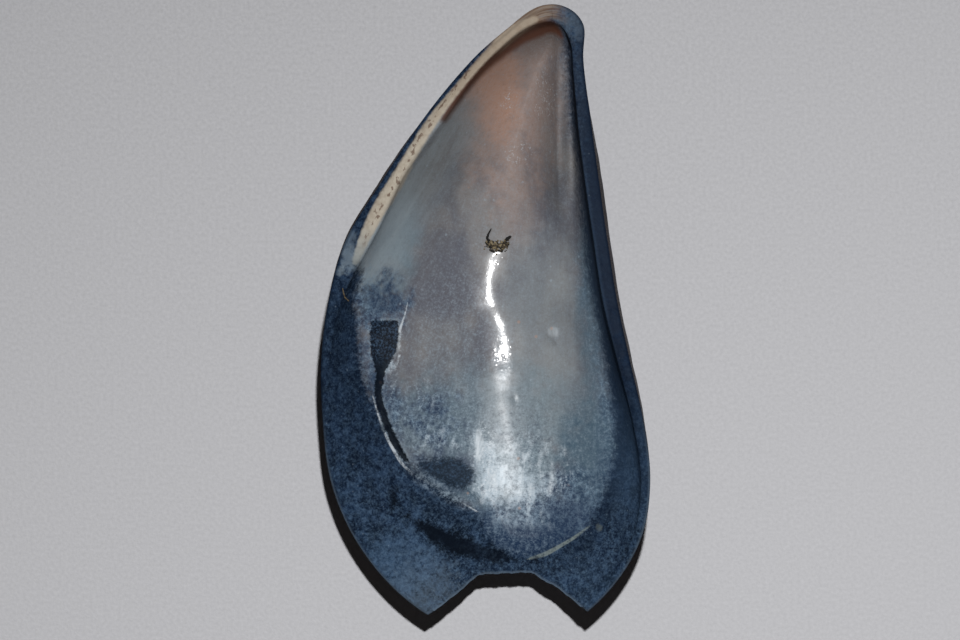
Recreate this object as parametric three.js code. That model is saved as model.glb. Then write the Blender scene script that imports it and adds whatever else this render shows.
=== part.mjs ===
// Mussel shell: one valve, lying on its back with the pearly hollow up, a piece broken out of its wide end.
// Millimetres. The valve is worked out in the plane of its margin, +Y towards the beak and +Z out of the
// hollow, and is then tipped into the pose in which it rests on a table.
import * as THREE from 'three';

// Margin, before the break. Each station is [distance from the tip, centre line, fullness]: the margin is an
// ellipse whose centre line bends towards the beak and whose half breadth is fullness x sin(angle).
const OUTER = {
  length: 73,
  middle: 0,
  stations: [
    [0, 8.5, 12.8], [2.2, 8, 11.6], [6.2, 5.7, 11.3], [13, 3.25, 12.5], [19.8, 1.4, 13.85],
    [26.6, -0.25, 15.5], [33.5, -0.75, 16.55], [40.4, -0.5, 17.8], [47.3, 0.3, 19.3], [54.3, 1.1, 21.1],
    [61.2, 1.9, 22.4], [68.3, 2.5, 22.9], [73, 3.4, 23.3],
  ],
  depth: 19,
  rise: 1,
  taper: 1.65,
};

// Mouth of the hollow: the inner edge of the hinge plate and of the thick lower rim.
const INNER = {
  length: 70.1,
  middle: -0.55,
  stations: [
    [0, 8.5, 10.6], [2.5, 6.9, 10], [5.4, 5.55, 9.9], [10.6, 3.9, 10.3], [17.1, 1.9, 11.8],
    [23.4, 0.75, 12.9], [31.5, -0.8, 15], [38.4, -0.7, 16.55], [45.5, 0.15, 18.2], [52.5, 1.05, 20.05],
    [59.2, 1.9, 21.4], [66.3, 2.5, 22.2], [70.1, 3.4, 22.4],
  ],
  depth: 17.4,
  rise: 1.25,
  taper: 1.57,
};

// Depth along the length is depth x sin(angle)^rise x (1 - (angle / pi)^taper), close to an arc of a spiral.
// The deepest line lies this share of the half breadth towards the straight lower margin.
const KEEL_SHIFT = 0.24;
// Cross-section on each side of the keel, (1 - |x|^bulge)^(1 / steep), for the beak end and the wide end.
const STRAIGHT_SIDE = { bulge: [2.3, 2.0], steep: [2.1, 1.15], from: 1.5, to: 2.7 };
const HINGE_SIDE = { bulge: [2.2, 1.8], steep: [1.9, 1.05], from: 0.7, to: 1.9 };

// Broken end, from the right tip round to the left one, as a wall square to the margin plane.
const BREAK_EDGE = [
  [13.2, -33.9], [10.3, -31.7], [8.8, -30.7], [6.9, -29.8], [5.7, -29.1],
  [-0.4, -29.3], [-2.2, -30.8], [-4.3, -32.4], [-6.6, -33.9],
];

// Rim: height of its rounded back over the margin plane, plainly and along the hinge ridge.
const RIM_CROWN = 0.25;
const HINGE_CROWN = 0.55;
const HINGE_END = 31;
const HINGE_FADE = 4;
const RIM_ROWS = [0.3, 0.7];

// Shelf round the wide end of the hollow, where the thicker pearly layer stops short of the margin: its
// breadth at the hinge side, the wide end and the straight side, its step, and its start from the tip.
const SHELF_BREADTH = [7.5, 8.5, 4];
const SHELF_STEP = 0.35;
const SHELF_SLOPE = 1.2;
const SHELF_START = 30;

// Growth ridges on the back: sizes of the young shell, as shares of its length, where growth paused. They
// fade out between two distances from the worn beak.
const RIDGE_SIZES = [0.92, 0.8, 0.66, 0.34];
const RIDGE_HEIGHT = 0.3;
const RIDGE_WIDTH = 1.2;
const RIDGE_FADE = [10, 22];
const SPIRAL_RATE = 1.85;

// Rest: the beak tips up until the weight is over the lowest point, where the back is rubbed flat.
const REST_PITCH = 6.7;
const REST_ROLL = -3.6;
const RUB = 0.15;

// Mesh: cells along each side of the square grid that is spread over the valve, and where it is centred.
const CELLS = 40;
const HEART = [1, -4];
const RIM_GATHER = 1.5;

const { clamp, degToRad, lerp, smoothstep } = THREE.MathUtils;

// Smooth curve through the stations: a cubic between neighbours, with slopes taken across each one.
function along(bowl, angle, column) {
  const at = bowl.stations.map(([distance]) => Math.acos(clamp(1 - 2 * distance / bowl.length, -1, 1)));
  const value = bowl.stations.map((station) => station[column]);
  const last = at.length - 1;
  let i = 0;
  while (i < last - 1 && angle > at[i + 1]) i += 1;
  const slope = (k) => {
    const a = Math.max(k - 1, 0);
    const b = Math.min(k + 1, last);
    return (value[b] - value[a]) / (at[b] - at[a]);
  };
  const span = at[i + 1] - at[i];
  const u = (angle - at[i]) / span;
  const rest = 1 - u;
  return value[i] * rest * rest * (1 + 2 * u) + value[i + 1] * u * u * (3 - 2 * u)
    + span * u * rest * (slope(i) * rest - slope(i + 1) * u);
}

// Point of a bowl's edge at a turn from the beak, clockwise as seen from above.
function edge(bowl, turn) {
  const angle = Math.acos(Math.cos(turn));
  return [
    along(bowl, angle, 1) + along(bowl, angle, 2) * Math.sin(turn),
    bowl.middle + bowl.length / 2 * Math.cos(turn),
  ];
}

// Height of a bowl's surface over a point of the margin plane, zero on its edge and negative inside.
function surface(bowl, x, y) {
  const angle = Math.acos(clamp((y - bowl.middle) / (bowl.length / 2), -1, 1));
  const sine = Math.sin(angle);
  const half = Math.max(along(bowl, angle, 2) * sine, 1e-6);
  const across = clamp((x - along(bowl, angle, 1)) / half, -1, 1) - KEEL_SHIFT;
  const side = across > 0 ? STRAIGHT_SIDE : HINGE_SIDE;
  const out = Math.abs(across) / (across > 0 ? 1 - KEEL_SHIFT : 1 + KEEL_SHIFT);
  const blend = smoothstep(angle, side.from, side.to);
  const bulge = lerp(side.bulge[0], side.bulge[1], blend);
  const steep = lerp(side.steep[0], side.steep[1], blend);
  const depth = bowl.depth * sine ** bowl.rise * (1 - (angle / Math.PI) ** bowl.taper);
  return -depth * Math.max(1 - Math.min(out, 1) ** bulge, 0) ** (1 / steep);
}

// Share of the way from the heart to an edge point at which the broken edge cuts the line between them.
function breakShare([px, py]) {
  const dx = px - HEART[0];
  const dy = py - HEART[1];
  let share = 1;
  for (let i = 0; i + 1 < BREAK_EDGE.length; i += 1) {
    const [ax, ay] = BREAK_EDGE[i];
    const ex = BREAK_EDGE[i + 1][0] - ax;
    const ey = BREAK_EDGE[i + 1][1] - ay;
    const cross = dx * ey - dy * ex;
    const k = ((ax - HEART[0]) * ey - (ay - HEART[1]) * ex) / cross;
    const u = ((ax - HEART[0]) * dy - (ay - HEART[1]) * dx) / cross;
    if (u >= 0 && u <= 1 && k > 0 && k < share) share = k;
  }
  return share;
}

// Edge point after the break.
function brokenEdge(bowl, turn) {
  const point = edge(bowl, turn);
  const share = breakShare(point);
  return [lerp(HEART[0], point[0], share), lerp(HEART[1], point[1], share)];
}

// Turn of a point on the border of the unit square: the middle of its upper side faces the beak.
function squareTurn(a, b) {
  const quarter = Math.PI / 4;
  if (b >= Math.abs(a)) return quarter * a / (b || 1);
  if (a >= Math.abs(b)) return quarter * (2 - b / a);
  if (-b >= Math.abs(a)) return quarter * (4 + a / b);
  return quarter * (6 - b / a);
}

// Height of the pearly layer over the shelf, at a distance inwards from the margin.
function shelf(turn, inwards, y) {
  const [hingeSide, wideEnd, straightSide] = SHELF_BREADTH;
  const sine = Math.sin(turn);
  const breadth = lerp(wideEnd, sine < 0 ? hingeSide : straightSide, Math.abs(sine));
  const begun = smoothstep(OUTER.length / 2 - y, SHELF_START, SHELF_START + SHELF_START / 4);
  return SHELF_STEP * begun * smoothstep(inwards, breadth - SHELF_SLOPE, breadth);
}

// One skin of the valve: a square grid drawn out to the broken edge, its cells gathered towards the rim.
function skin(bowl) {
  const points = [];
  for (let j = 0; j <= CELLS; j += 1) {
    for (let i = 0; i <= CELLS; i += 1) {
      const a = 2 * i / CELLS - 1;
      const b = 2 * j / CELLS - 1;
      const ring = Math.max(Math.abs(a), Math.abs(b));
      const reach = 1 - (1 - ring) ** RIM_GATHER;
      const turn = squareTurn(a, b);
      const [px, py] = brokenEdge(bowl, turn);
      const x = lerp(HEART[0], px, reach);
      const y = lerp(HEART[1], py, reach);
      const point = new THREE.Vector3(x, y, surface(bowl, x, y));
      if (bowl === INNER) {
        const [ex, ey] = edge(bowl, turn);
        point.z += shelf(turn, Math.hypot(ex - x, ey - y), y);
      }
      points.push(point);
    }
  }
  return points;
}

// Grid numbers of the skin's border, clockwise from the upper left corner.
function border() {
  const row = CELLS + 1;
  const loop = [];
  for (let i = 0; i < CELLS; i += 1) loop.push(CELLS * row + i);
  for (let j = CELLS; j > 0; j -= 1) loop.push(j * row + CELLS);
  for (let i = CELLS; i > 0; i -= 1) loop.push(i);
  for (let j = 0; j < CELLS; j += 1) loop.push(j * row);
  return loop;
}

// Triangles of a skin, wound to face up or down.
function skinFaces(first, up) {
  const row = CELLS + 1;
  const faces = [];
  for (let j = 0; j < CELLS; j += 1) {
    for (let i = 0; i < CELLS; i += 1) {
      const k = first + j * row + i;
      const [a, b, c, d] = [k, k + 1, k + row + 1, k + row];
      const leaning = (2 * i < CELLS) === (2 * j < CELLS);
      const quad = leaning ? [a, b, c, a, c, d] : [b, c, d, b, d, a];
      faces.push(...(up ? quad : quad.reverse()));
    }
  }
  return faces;
}

// Growth ridges, in the planes through the hinge line in which the margin of the young shell paused.
function ridge(point) {
  const back = OUTER.length / 2 - point.y;
  const rolled = Math.atan2(-point.z, back);
  const arm = Math.hypot(point.z, back);
  const height = RIDGE_HEIGHT * smoothstep(arm, ...RIDGE_FADE);
  return RIDGE_SIZES.reduce((sum, size) => {
    const away = (rolled + Math.log(size) / SPIRAL_RATE) * arm / RIDGE_WIDTH;
    return sum + height * Math.exp(-away * away);
  }, 0);
}

// Raises the ridges from the back along its normals, clear of the rim.
function raiseRidges(points) {
  const geometry = new THREE.BufferGeometry().setFromPoints(points);
  geometry.setIndex(skinFaces(0, false));
  geometry.computeVertexNormals();
  const normals = geometry.getAttribute('normal');
  const rim = new Set(border());
  points.forEach((point, i) => {
    if (rim.has(i)) return;
    const normal = new THREE.Vector3().fromBufferAttribute(normals, i);
    point.addScaledVector(normal, ridge(point));
  });
}

// Height of the rim's rounded back, greatest along the hinge ridge and none where the end is broken.
function rimCrown(turn) {
  const point = edge(OUTER, turn);
  if (breakShare(point) < 1) return 0;
  const distance = OUTER.length / 2 - point[1];
  const hinge = Math.sin(turn) < 0 ? 1 - smoothstep(distance, HINGE_END - HINGE_FADE, HINGE_END) : 0;
  return lerp(RIM_CROWN, HINGE_CROWN, hinge);
}

function valveGeometry() {
  const back = skin(OUTER);
  const hollow = skin(INNER);
  raiseRidges(back);
  const loop = border();
  const points = [...back, ...hollow];
  const faces = [...skinFaces(0, false), ...skinFaces(back.length, true)];
  const rows = [loop];
  for (const s of RIM_ROWS) {
    rows.push(loop.map((k) => {
      const a = 2 * (k % (CELLS + 1)) / CELLS - 1;
      const b = 2 * Math.floor(k / (CELLS + 1)) / CELLS - 1;
      const point = back[k].clone().lerp(hollow[k], s);
      point.z += rimCrown(squareTurn(a, b));
      return points.push(point) - 1;
    }));
  }
  rows.push(loop.map((k) => k + back.length));
  for (let r = 0; r + 1 < rows.length; r += 1) {
    loop.forEach((_, i) => {
      const n = (i + 1) % loop.length;
      faces.push(rows[r][i], rows[r + 1][n], rows[r][n], rows[r][i], rows[r + 1][i], rows[r + 1][n]);
    });
  }
  const geometry = new THREE.BufferGeometry().setFromPoints(points);
  geometry.setIndex(faces);
  geometry.rotateX(degToRad(REST_PITCH)).rotateY(degToRad(REST_ROLL));
  rest(geometry);
  return geometry;
}

// Rubs the lowest part of the back flat and stands it on z = 0, centred over the origin.
function rest(geometry) {
  const position = geometry.getAttribute('position');
  geometry.computeBoundingBox();
  const floor = geometry.boundingBox.min.z + RUB;
  for (let i = 0; i < position.count; i += 1) position.setZ(i, Math.max(position.getZ(i), floor));
  geometry.computeBoundingBox();
  const centre = geometry.boundingBox.getCenter(new THREE.Vector3());
  geometry.translate(-centre.x, -centre.y, -floor);
  geometry.computeVertexNormals();
}

const shell = new THREE.MeshStandardMaterial({ color: 0x6d7480, roughness: 0.35, metalness: 0 });
const valve = new THREE.Mesh(valveGeometry(), shell);
valve.name = 'valve';

const mussel = new THREE.Group();
mussel.add(valve);

export default mussel;
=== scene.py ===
"""One half of a mussel shell, lying on its back with the pearly hollow up, on a plain floor.

The valve is two bowls, the hollow and the back, drawn over one outline and joined by a rim. Lengths in
the shape code are millimetres in the plane of the margin: x towards the straight lower margin, y towards
the beak, z out of the hollow. The finished surface is tipped into the resting pose and set into the
frame's box, in metres.
"""

import bpy
import numpy as np
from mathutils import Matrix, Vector


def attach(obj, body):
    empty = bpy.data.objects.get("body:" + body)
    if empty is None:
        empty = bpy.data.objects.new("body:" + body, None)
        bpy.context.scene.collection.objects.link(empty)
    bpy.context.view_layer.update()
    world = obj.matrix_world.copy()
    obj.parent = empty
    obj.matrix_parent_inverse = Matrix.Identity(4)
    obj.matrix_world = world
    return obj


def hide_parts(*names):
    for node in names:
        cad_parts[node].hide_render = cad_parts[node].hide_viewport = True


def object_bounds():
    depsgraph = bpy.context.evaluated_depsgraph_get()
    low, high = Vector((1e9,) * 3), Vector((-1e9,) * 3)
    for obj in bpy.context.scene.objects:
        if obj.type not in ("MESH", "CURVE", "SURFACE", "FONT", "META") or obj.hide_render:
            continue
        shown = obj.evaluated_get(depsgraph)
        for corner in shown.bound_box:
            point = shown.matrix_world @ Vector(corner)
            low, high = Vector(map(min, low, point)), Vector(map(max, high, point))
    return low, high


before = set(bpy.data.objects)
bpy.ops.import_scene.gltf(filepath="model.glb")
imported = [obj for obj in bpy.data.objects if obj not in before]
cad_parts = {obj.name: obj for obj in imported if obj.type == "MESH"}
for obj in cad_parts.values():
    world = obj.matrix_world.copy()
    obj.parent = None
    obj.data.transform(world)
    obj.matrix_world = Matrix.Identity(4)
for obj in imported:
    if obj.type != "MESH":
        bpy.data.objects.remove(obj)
CAD_LOW, CAD_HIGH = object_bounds()

bl_info = {
    "name": "Mussel valve",
    "version": (1, 0, 0),
    "blender": (4, 5, 0),
    "location": "3D View > Sidebar > Mussel",
    "description": "Builds one half of a mussel shell and the crumbs of dirt in its hollow",
    "category": "Add Mesh",
}

MM = 0.001

# Margin of the back and mouth of the hollow. A station is distance from the tip, centre line and
# fullness.
BACK = {
    "length": 73, "middle": 0, "depth": 19, "rise": 1, "taper": 1.65,
    "stations": np.array([
        (0, 8.5, 12.8), (2.2, 8, 11.6), (6.2, 5.7, 11.3), (13, 3.25, 12.5), (19.8, 1.4, 13.85),
        (26.6, -0.25, 15.5), (33.5, -0.75, 16.55), (40.4, -0.5, 17.8), (47.3, 0.3, 19.3),
        (54.3, 1.1, 21.1), (61.2, 1.9, 22.4), (68.3, 2.5, 22.9), (73, 3.4, 23.3),
    ]),
}
HOLLOW = {
    "length": 70.1, "middle": -0.55, "depth": 17.4, "rise": 1.25, "taper": 1.57,
    "stations": np.array([
        (0, 8.5, 10.6), (2.5, 6.9, 10), (5.4, 5.55, 9.9), (10.6, 3.9, 10.3), (17.1, 1.9, 11.8),
        (23.4, 0.75, 12.9), (31.5, -0.8, 15), (38.4, -0.7, 16.55), (45.5, 0.15, 18.2),
        (52.5, 1.05, 20.05), (59.2, 1.9, 21.4), (66.3, 2.5, 22.2), (70.1, 3.4, 22.4),
    ]),
}
KEEL_SHIFT = 0.24
STRAIGHT_SIDE = {"bulge": (2.3, 2.0), "steep": (2.1, 1.15), "span": (1.5, 2.7)}
HINGE_SIDE = {"bulge": (2.2, 1.8), "steep": (1.9, 1.05), "span": (0.7, 1.9)}
BREAK_EDGE = [
    (13.2, -33.9), (10.3, -31.7), (8.8, -30.7), (6.9, -29.8), (5.7, -29.1),
    (-0.4, -29.3), (-2.2, -30.8), (-4.3, -32.4), (-6.6, -33.9),
]
HEART = (1, -4)
HINGE_REACH = (27, 31)
REST_PITCH, REST_ROLL = np.radians((6.7, -3.6))

# Growth pauses on the back, as shares of the full length, the reach from the beak over which they set in
# and over which the beak is worn, and how fast the shell unrolls.
RIDGE_SIZES = (0.92, 0.8, 0.66, 0.34)
RIDGE_FADE = (10, 22)
WORN_BEAK = (6, 17)
SPIRAL_RATE = 1.85

# Waves of low relief: height, waves along x and y in radians, and phase. Growth waves run over the share of
# growth, teeth over the turn.
GROWTH_WAVES = ((0.5, 190, 0, 0), (0.35, 311, 0, 1.3), (0.25, 97, 0, 0.6))
WORN_WAVES = ((0.4, 1.9, 1.2, 0), (0.4, -1.4, 2.3, 1), (0.2, 3.1, -2.2, 2))
SWELL_WAVES = ((0.5, 0.15, 1.35, 0.4), (0.3, -0.5, 2.2, 2), (0.5, 0.9, 0.45, 1), (0.25, 2.3, 0.7, 0.8))
FOLD_WAVES = ((1, 1.15, -0.95, 0.3), (0.6, 1.9, -1.5, 2))
TOOTH_WAVES = ((0.5, 61, 0.7), (0.32, 137, 2.1), (0.2, 251, 4.0))
TOOTH_SEEDS = (1, 1.4)
WORN_DEPTH = 1.5

# Rim: how square its round is, and the outer and inner faces of the hinge ridge as shares across it.
RIM_POWER = 0.7
RIDGE_OUTER = (0.12, 0.5)
RIDGE_INNER = (1.02, 0.86)

# Mesh: cells along a side of the square grid that is spread over each skin, how they gather at the rim, and
# rows across the rim.
CELLS = 214
RIM_GATHER = 1.35
RIM_ROWS = 8

# Outline of the pearly layer, which runs on to the middle of the hinge ridge.
PEARL_OUTLINE = [
    (-13.9, 8), (-13.5, 6), (-13.9, 4), (-14.3, 2.2), (-14, 0.4), (-13.9, -4.4), (-13.2, -7.1),
    (-12.2, -9.8), (-11.1, -12.5), (-10, -14.4), (-8.7, -16.6), (-6.3, -18.9), (-4.2, -20.2),
    (-0.9, -22.1), (0.6, -24.9), (1.7, -26.3), (3.8, -27.2), (6.2, -27.2), (9, -26.1), (11.9, -24.3),
    (13.4, -21.3), (14.7, -17.8), (15.2, -15), (15.3, -12), (14.4, -5.9), (13.5, -0.6), (12.4, 4.7),
    (11.7, 11), (11.2, 17.3), (10.3, 23.8), (9.9, 31.8), (9, 34), (6.5, 34.8), (4.3, 33.7), (0.6, 30.3),
    (-2.3, 27), (-5, 23.6), (-7.2, 20.2), (-9.2, 16.8), (-11.3, 13.4), (-13, 10),
]

# Strokes of finish on the inside, as places along them with the half breadth there.
SCAR_OUTLINE = [
    (-12.7, 0.3), (-9.9, 0), (-9.7, -1.8), (-10, -3.5), (-10.8, -5.1), (-11.5, -6.4), (-12, -6.4),
    (-12.3, -5.1), (-12.8, -3.2), (-12.9, -1.5),
]
GROOVE = [
    (-11.7, -5.8, 0.5), (-12, -8.2, 0.42), (-11.3, -11.2, 0.38), (-10.3, -13.8, 0.44), (-9, -16.1, 0.32),
]
CRESCENT = [
    (-8.6, -22.4, 0.2), (-7.2, -23.6, 0.5), (-5.6, -24.6, 0.8), (-3.6, -25.6, 1), (-1.4, -26.4, 1),
    (0.9, -27, 0.75), (2.8, -27.5, 0.45), (4.6, -27.9, 0.25), (6.2, -27.9, 0.12),
]
CRESCENT_SPOT = [(-10.4, -19.7, 0.35), (-10.1, -20.9, 0.45)]
GREY_PATCH = [(-6.8, -16.7, 0.55), (-4.9, -17.2, 1.1), (-3.2, -17.8, 1.5), (-2.3, -18.2, 1.15)]
# Painted shade on the wall under the hinge plate: dark brown at the lip, and lighter brown below it as
# painted light where the lamp leaves the wall dark.
HINGE_SHADE = [
    (-3.8, 23.7, 0.35), (-1.5, 27, 0.5), (0, 28.9, 0.65), (1.7, 30.6, 0.8), (3.9, 32.4, 0.95),
    (5.2, 33.2, 1), (6.5, 33.7, 1), (7.8, 34, 0.8), (8.9, 33.6, 0.5), (9.5, 32.8, 0.1),
]
RIDGE = [
    (6.5, 34.8, 0.4), (4.3, 33.7, 0.55), (0.6, 30.3, 0.42), (-2.3, 27, 0.42), (-5, 23.6, 0.56),
    (-7.2, 20.2, 0.63), (-9.2, 16.8, 0.75), (-11.3, 13.4, 0.8), (-13, 10, 0.6), (-14, 7.5, 0.35),
]
PALE_LINES = [
    [
        (-12.6, -8.6, 0.02), (-12.1, -10.6, 0.05), (-11.4, -12.8, 0.07), (-10.5, -14.7, 0.1),
        (-9.2, -16.8, 0.1), (-7.4, -18.2, 0.06), (-4.2, -20.2, 0.06), (-0.9, -22.1, 0.04),
    ],
    [(-8.9, 1.6, 0.01), (-9.1, 0.6, 0.02), (-9.6, -1.2, 0.09), (-9.6, -3.7, 0.1), (-9.8, -4.6, 0.03)],
    [(5.6, -27.5, 0.08), (7.3, -27, 0.2), (9, -26.1, 0.15), (10.8, -25, 0.12), (12.2, -23.9, 0.05)],
]
PALE_STRIP = [
    (-13.7, 0.4, 0.2), (-13.6, -1.4, 0.3), (-13.5, -3.1, 0.3), (-13.2, -5.5, 0.25), (-12.7, -7.6, 0.15),
]

# Small blisters of the pearl: place, radius and height.
PEARL_BUMPS = [
    (8.1, -2.1, 0.65, 0.32), (8.6, -2.9, 0.35, 0.14), (7.7, -6.9, 0.35, 0.08), (3.6, -9.5, 0.3, 0.06),
]

# At each y, how far the deepest line of the hollow strays sideways, and how far the pearl raises its floor.
WANDER = np.array([
    (-24, 0), (-19, -0.4), (-14, -0.8), (-8.6, -0.6), (-5.4, 0), (-3.4, 0.1), (-1.1, 0), (1.2, -1),
    (4.2, -1.2), (6.5, -0.7), (9, -0.4), (14, 0),
])
FLOOR_RISE = np.array([
    (-27, 0.73), (-21, 0.84), (-15, 1.13), (-10, 1.34), (-6, 1.41), (-2, 1.34), (2, 1.12), (4, 0.93),
    (6, 0.63), (8, 0.31), (10, 0.12), (14, 0),
])

# Spans over which the stray sets in from the rim, and the rise from the edge of the pearl.
STRAY_FROM = (3, 9)
RISE_FROM = (-1.5, 2.5)

# Spans of the relief inside: the pearl's crisp side over -x, its step where crisp and where soft and its
# end along y, the sides of scar and crescent, the swell from the rim, and the folds along y and -x.
CRISP_SIDE = (2, 7)
CRISP_STEP = (-0.25, 0.45)
SOFT_STEP = (-1.8, 1.8)
STEP_END = (22, 8)
SCAR_SIDE = (-0.15, 0.4)
CRESCENT_SIDE = (-0.3, 0.5)
SWELL_FROM = (0.4, 3)
FOLDS_FROM = (8, 14)
FOLDS_TO = (34, 26)
FOLDS_SIDE = (-3, 1)
CRESCENT_SHARE = 0.4
FOLD_SHARE = 0.7

# Wall under the hinge plate: slope at the lip, how soon it eases, how softly it meets the hollow, and the
# spans of y and of -x over which it sets in.
WALL_SLOPE = 2.5
WALL_EASE = 11
WALL_SOFTNESS = 0.8
WALL_FROM = (8, 20)
WALL_SIDE = (-10.9, -8.7)

# Chords in a stroke, border points skipped in measuring to an edge, a distance that counts as nowhere near,
# and how far over the tip the rays of the back meet.
STROKE_STEPS = 48
EDGE_STRIDE = 4
FAR = 99.0
RAY_RISE = 4


# Shape: plain curves

def ease(x, low, high):
    """Smooth step: 0 up to low, 1 from high on, and 3t^2 - 2t^3 between."""
    t = np.clip((x - low) / (high - low), 0, 1)
    return t * t * (3 - 2 * t)


def through(knots, values, at):
    """Smooth curve through values at knots: cubics, sloped at each knot as the chord across it."""
    last = len(knots) - 1
    k = np.arange(last + 1)
    before, after = np.maximum(k - 1, 0), np.minimum(k + 1, last)
    slope = (values[after] - values[before]) / (knots[after] - knots[before])
    i = np.clip(np.searchsorted(knots, at) - 1, 0, last - 1)
    span = knots[i + 1] - knots[i]
    u = (at - knots[i]) / span
    rest = 1 - u
    ends = values[i] * rest ** 2 * (1 + 2 * u) + values[i + 1] * u ** 2 * (3 - 2 * u)
    return ends + span * u * rest * (slope[i] * rest - slope[i + 1] * u)


def station(bowl, angle, column):
    """Centre line (column 1) or fullness (column 2) of a bowl at an angle round from the beak."""
    table = bowl["stations"]
    knots = np.arccos(np.clip(1 - 2 * table[:, 0] / bowl["length"], -1, 1))
    return through(knots, table[:, column], angle)


def mouth(bowl, turn):
    """Edge of a bowl, a bent ellipse: x = centre + fullness sin(turn), y = middle + length/2 cos(turn)."""
    angle = np.arccos(np.clip(np.cos(turn), -1, 1))
    x = station(bowl, angle, 1) + station(bowl, angle, 2) * np.sin(turn)
    return x, bowl["middle"] + bowl["length"] / 2 * np.cos(turn)


def depth(bowl, x, y):
    """Height of a bowl: -depth sin^rise (1 - (angle/pi)^taper) (1 - |across|^bulge)^(1/steep)."""
    angle = np.arccos(np.clip((y - bowl["middle"]) / (bowl["length"] / 2), -1, 1))
    half = np.maximum(station(bowl, angle, 2) * np.sin(angle), 1e-6)
    across = np.clip((x - station(bowl, angle, 1)) / half, -1, 1) - KEEL_SHIFT
    straight = across > 0
    out = np.minimum(np.abs(across) / np.where(straight, 1 - KEEL_SHIFT, 1 + KEEL_SHIFT), 1)
    shape = {}
    for key in ("bulge", "steep"):
        sides = []
        for side in (STRAIGHT_SIDE, HINGE_SIDE):
            start, end = side[key]
            sides.append(start + (end - start) * ease(angle, *side["span"]))
        shape[key] = np.where(straight, *sides)
    deep = bowl["depth"] * np.sin(angle) ** bowl["rise"] * (1 - (angle / np.pi) ** bowl["taper"])
    return -deep * np.maximum(1 - out ** shape["bulge"], 0) ** (1 / shape["steep"])


def ripple(x, y, waves):
    """Sum of plane waves, each height sin(kx x + ky y + phase), with k in radians per mm."""
    return sum(height * np.sin(kx * x + ky * y + phase) for height, kx, ky, phase in waves)


# Shape: distances to drawn strokes and outlines

def to_chord(x, y, start, end):
    """Distance to a chord, share of the way along it, and a value that is positive to its left."""
    dx, dy = end[0] - start[0], end[1] - start[1]
    rx, ry = x - start[0], y - start[1]
    t = np.clip((rx * dx + ry * dy) / (dx * dx + dy * dy), 0, 1)
    return np.hypot(rx - t * dx, ry - t * dy), t, dx * ry - dy * rx


def nearest(marks, x, y):
    """Signed offset from a smooth line through marks (x, y, half breadth), and half breadth and run there.

    The line is cut into short chords. The offset is the distance to the nearest, positive to its left.
    """
    marks = np.asarray(marks, float)
    run = np.concatenate([[0], np.cumsum(np.hypot(*np.diff(marks[:, :2], axis=0).T))])
    at = np.linspace(0, run[-1], STROKE_STEPS)
    px, py, half = (through(run, marks[:, column], at) for column in range(3))
    line = np.stack([px, py], -1)
    best, offset, breadth, reached = (np.full(x.shape, value) for value in (FAR, FAR, 0.0, 0.0))
    for k in range(STROKE_STEPS - 1):
        away, t, left = to_chord(x, y, line[k], line[k + 1])
        closer = away < best
        best = np.where(closer, away, best)
        offset = np.where(closer, np.copysign(away, left), offset)
        breadth = np.where(closer, half[k] + t * (half[k + 1] - half[k]), breadth)
        reached = np.where(closer, at[k] + t * (at[k + 1] - at[k]), reached)
    return offset, breadth, reached


def stroke(marks, x, y):
    """Distance outside the side of a stroke, negative on the stroke."""
    offset, breadth, _ = nearest(marks, x, y)
    return np.abs(offset) - breadth


def from_edge(edge, x, y):
    """Distance to a closed line through edge points."""
    away = np.full(x.shape, FAR)
    for start, end in zip(edge, np.roll(edge, -1, axis=0)):
        away = np.minimum(away, to_chord(x, y, start, end)[0])
    return away


def within(outline, x, y):
    """Distance inside a closed outline, negative outside: to the nearest side, its sign by crossings."""
    inside = np.zeros(x.shape, bool)
    for (ax, ay), (bx, by) in zip(outline, outline[1:] + outline[:1]):
        crosses = (ay > y) != (by > y)
        inside ^= crosses & (x < ax + (y - ay) * (bx - ax) / (by - ay or 1))
    away = from_edge(outline, x, y)
    return np.where(inside, away, -away)


def pale_line(x, y):
    """Signed offset, plain distance and half breadth of the nearest pale line, as three columns."""
    found = np.stack([np.full(x.shape, FAR), np.full(x.shape, FAR), np.zeros(x.shape)], -1)
    for marks in PALE_LINES:
        offset, breadth, _ = nearest(marks, x, y)
        closer = np.abs(offset) < found[..., 1]
        found = np.where(closer[..., None], np.stack([offset, np.abs(offset), breadth], -1), found)
    return found


# Shape: the valve

def square_turn(a, b):
    """Turn, clockwise from the beak, of a point's ray in the unit square."""
    with np.errstate(divide="ignore", invalid="ignore"):
        sides = [a / b, 2 - b / a, 4 + a / b, 6 - b / a]
    facing = [b >= np.abs(a), a >= np.abs(b), -b >= np.abs(a)]
    return np.nan_to_num(np.pi / 4 * np.select(facing, sides[:3], sides[3]))


def break_share(px, py, jag):
    """Share of the way from the heart to an edge point at which the jagged broken edge cuts the ray."""
    dx, dy = px - HEART[0], py - HEART[1]
    share = np.ones(px.shape)
    for (ax, ay), (bx, by) in zip(BREAK_EDGE, BREAK_EDGE[1:]):
        ex, ey = bx - ax, by - ay
        rx, ry = ax - HEART[0], ay - HEART[1]
        cross = dx * ey - dy * ex
        with np.errstate(divide="ignore", invalid="ignore"):
            k, u = (rx * ey - ry * ex) / cross, (rx * dy - ry * dx) / cross
        hit = (u >= 0) & (u <= 1) & (k > 0) & (k < share)
        share = np.where(hit, k, share)
    return np.where(share < 1, np.minimum(share * (1 + jag), 1), 1)


def jagged(turn, size, seed):
    """Small teeth of the broken edge: three waves round the turn, of falling height."""
    return size * sum(h * np.sin(n * turn + phase * seed) for h, n, phase in TOOTH_WAVES)


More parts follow.
